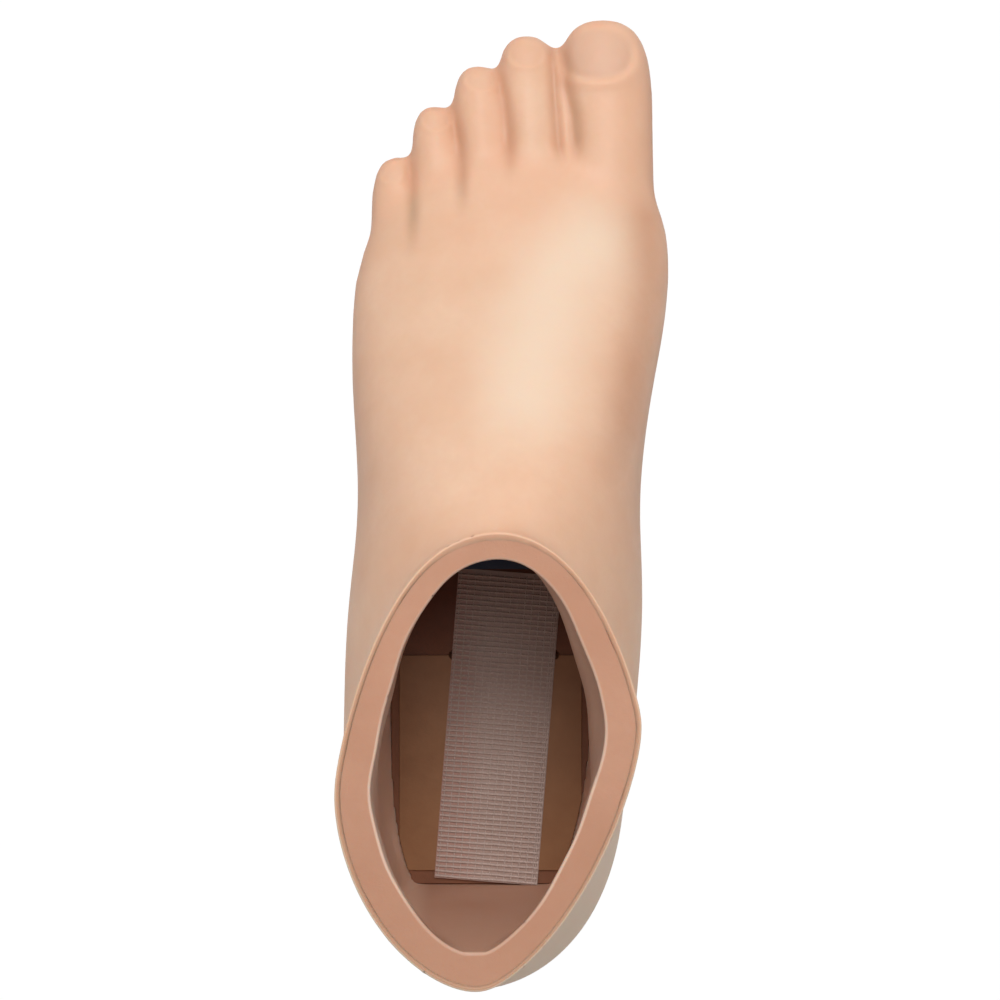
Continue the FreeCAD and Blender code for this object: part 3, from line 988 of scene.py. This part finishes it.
@dataclass
class WovenStrip:
    """The strip: thick weft threads across, thin warp threads along and a film of resin under them.

    Attributes:
        width: Width of the strip, in millimetres.
        length: Length of the strip, in millimetres.
        turn: How far it is turned on the floor, in degrees.
        middle: Where its middle crosses the liner's front edge, across the foot, in millimetres.
        step: From the liner's edge to where the strip comes down, in millimetres.
        weft_pitch: From one weft thread to the next, in millimetres.
        warp_pitch: From one warp thread to the next, in millimetres.
        film: Thickness of the resin film, in millimetres.
    """

    width: float = 28.5
    length: float = 85.1
    turn: float = -4.5
    middle: float = -1.0
    step: float = 1.8
    weft_pitch: float = 1.38
    warp_pitch: float = 2.0
    film: float = 0.25

    def __post_init__(self) -> None:
        """Reads where the strip lies from the frame."""
        liner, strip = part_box(Node.LINER.value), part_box(Node.STRIP.value)
        self.floor = strip[0].z / MM
        self.liner_top = liner[1].z / MM
        self.edge_y = liner[1].y / MM
        middle_y = (strip[0].y + strip[1].y) / 2 / MM
        half = self.length / 2
        self.back, self.front = middle_y - self.edge_y - half, middle_y - self.edge_y + half

    def base(self, y: np.ndarray) -> np.ndarray:
        """Height of the strip's underside at places along it."""
        drop = smooth_step(self.step - 0.5, self.step + 0.5, y)
        return self.liner_top + (self.floor - self.liner_top) * drop

    def placed(self, x: np.ndarray, y: np.ndarray, z: np.ndarray) -> np.ndarray:
        """Turns points given in the strip's own directions to the frame's.

        Args:
            x: Across the strip, in millimetres.
            y: Along it, from the liner's front edge.
            z: Height above the ground.

        Returns:
            The points, one row each, in millimetres.
        """
        c, s = math.cos(math.radians(self.turn)), math.sin(math.radians(self.turn))
        return np.stack([self.middle + c * x - s * y, self.edge_y + s * x + c * y, z], axis=1)

    def threads(self, name: str, paths: list[tuple[np.ndarray, float]]) -> bpy.types.Object:
        """Makes round threads along paths.

        Args:
            name: The piece's name.
            paths: Points and radius of each thread, in millimetres.

        Returns:
            The threads as one mesh object.
        """
        curve = bpy.data.curves.new(name, "CURVE")
        curve.dimensions, curve.bevel_depth, curve.bevel_resolution = "3D", 1.0, 1
        curve.use_fill_caps = True
        for points, radius in paths:
            spline = curve.splines.new("POLY")
            spline.points.add(len(points) - 1)
            spline.points.foreach_set("co", np.hstack([points * MM, np.ones((len(points), 1))]).ravel())
            spline.points.foreach_set("radius", np.full(len(points), radius * MM))
        piece = bpy.data.objects.new(name, curve)
        bpy.context.scene.collection.objects.link(piece)
        pick(piece)
        bpy.ops.object.convert(target="MESH")
        bpy.ops.object.shade_smooth()
        return bpy.context.active_object

    def weft(self) -> bpy.types.Object:
        """The threads across the strip, over and under the warp."""
        across = np.linspace(-self.width / 2 + 0.3, self.width / 2 - 0.3, 57)
        paths = []
        for i, y in enumerate(np.arange(self.back + 0.6, self.front - 0.5, self.weft_pitch)):
            along = np.full(len(across), y) + 0.05 * np.sin(across / 3.0 + i)
            wave = 0.05 * np.cos(math.pi * (across / self.warp_pitch + i))
            paths.append((self.placed(across, along, self.base(along) + 0.40 + wave), 0.35))
        return self.threads("strip_weft", paths)

    def warp(self) -> bpy.types.Object:
        """The threads along the strip, and the closer ones of its right selvedge."""
        along = np.arange(self.back + 0.2, self.front - 0.2, self.weft_pitch / 2)
        rows = list(np.arange(-self.width / 2 + 1.0, self.width / 2 - 1.6, self.warp_pitch))
        rows += [self.width / 2 - 1.7, self.width / 2 - 1.1, self.width / 2 - 0.5]
        paths = []
        for i, x in enumerate(rows):
            wave = 0.14 * np.cos(math.pi * along / self.weft_pitch + math.pi * i)
            radius, height = (0.13, 0.44) if x < self.width / 6 else (0.20, 0.46)
            across = np.full(len(along), x) + 0.04 * np.sin(along / 5.0 + i)
            paths.append((self.placed(across, along, self.base(along) + height + wave), radius))
        return self.threads("strip_warp", paths)

    def resin(self) -> bpy.types.Object:
        """The film of resin, as a thin sheet with its own thickness."""
        bpy.ops.mesh.primitive_grid_add(x_subdivisions=20, y_subdivisions=80, size=1.0)
        piece = bpy.context.active_object
        piece.name = piece.data.name = "strip_film"
        points = points_of(piece) * MM
        x = points[:, 0] * (self.width - 0.2)
        y = self.back + (points[:, 1] + 0.5) * self.length
        set_points(piece, self.placed(x, y, self.base(y) + 0.01))
        finish_modifier(piece, "SOLIDIFY", thickness=self.film * MM, offset=1.0)
        shade(piece, 40)
        paint(piece, "blush", smooth_step(-6.0, -13.0, points_of(piece)[:, 0]))
        return piece

    def build(self, thread: bpy.types.Material, film: bpy.types.Material) -> list[bpy.types.Object]:
        """Makes the strip and dresses it.

        Args:
            thread: The threads' material.
            film: The resin's material.

        Returns:
            The film and its threads.
        """
        sheet, threads = self.resin(), [self.weft(), self.warp()]
        dress(sheet, Node.STRIP, film)
        for piece in threads:
            dress(piece, Node.STRIP, thread)
        return [sheet, *threads]


# ---------------------------------------------------------------------------------------------------------
# Stage
# ---------------------------------------------------------------------------------------------------------
@dataclass
class Studio:
    """The plain pale floor, soft light and the camera above the foot.

    Attributes:
        height: Camera above the ground, in metres.
        aim: Where the camera looks straight down, in metres.
        lens: Focal length, in millimetres.
    """

    height: float = 0.600
    aim: tuple[float, float] = (-0.002, -0.001)
    lens: float = 77.1

    def build(self) -> None:
        """Makes the camera, the floor and the lights."""
        self.camera()
        self.floor()
        self.light("front", (-0.02, 0.50, 0.80), (0.0, 0.0, 0.03), 0.36, 3.6)
        self.light("overhead", (0.02, 0.30, 0.95), (0.0, 0.0, 0.0), 0.5, 2.6)
        self.world()

    def camera(self) -> None:
        """The camera, straight above, with the toes up."""
        data = bpy.data.cameras.new("camera")
        data.sensor_width, data.lens = 36.0, self.lens
        data.clip_start, data.clip_end = 0.01, 10.0
        camera = bpy.data.objects.new("camera", data)
        camera.location = (*self.aim, self.height)
        bpy.context.scene.collection.objects.link(camera)
        bpy.context.scene.camera = camera

    def floor(self) -> None:
        """A wide pale floor under the foot."""
        bpy.ops.mesh.primitive_plane_add(size=6.0, location=(0, 0, -0.0002))
        floor = bpy.context.active_object
        floor.name = "floor"
        shader = Shader("floor", 0.9, Emission_Color=WHITE)
        seen = shader.node("ShaderNodeLightPath").outputs["Is Camera Ray"]
        shader.feed(shader.bsdf.inputs["Emission Strength"], seen)
        grey = shader.mix(seen, (0.80, 0.80, 0.80), (0.0, 0.0, 0.0))
        floor.data.materials.append(shader.finish(grey))

    def light(self, name: str, at: Place, to: Place, size: float, power: float) -> None:
        """A soft square light.

        Args:
            name: Its name.
            at: Where it is, in metres.
            to: What it shines at, in metres.
            size: Its side, in metres.
            power: Its power, in watts.
        """
        data = bpy.data.lights.new(name, "AREA")
        data.shape, data.size, data.energy = "SQUARE", size, power
        lamp = bpy.data.objects.new(name, data)
        lamp.location = at
        lamp.rotation_euler = (Vector(to) - Vector(at)).to_track_quat("-Z", "Y").to_euler()
        bpy.context.scene.collection.objects.link(lamp)

    def world(self) -> None:
        """An even white surround."""
        world = bpy.data.worlds.new("studio")
        world.use_nodes = True
        world.node_tree.nodes["Background"].inputs["Color"].default_value = WHITE
        world.node_tree.nodes["Background"].inputs["Strength"].default_value = 0.38
        bpy.context.scene.world = world
        bpy.context.scene.view_settings.view_transform = "Standard"


def main() -> None:
    """Builds every piece round the frame."""
    logging.basicConfig(level=logging.INFO, format="%(message)s")
    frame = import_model()
    Studio().build()
    grain = grain_group()
    cushion = FoamPad(Node.CUSHION, "sole_seat", "cushion_foam", 0.6, 1, painted_shade_from=-52.0)
    filler = FoamPad(Node.FILLER, "toe_filler", "filler_foam", 0.9, 5)
    pieces = [
        FootSkin().build(frame, SKIN.make(grain)),
        FoamWall().build(frame, CUT_FOAM.make(grain)),
        cushion.build(frame, CUSHION_FOAM.make(grain)),
        filler.build(frame, FILLER_FOAM.make(grain)),
        SeatLiner().build(frame, LINER_FILM.make(grain)),
        *WovenStrip().build(STRIP_THREAD.make(), STRIP_BASE.make(grain)),
    ]
    for piece in pieces:
        LOG.info("%s: %d faces", piece.name, len(piece.data.polygons))


if __name__ == "__main__":
    main()
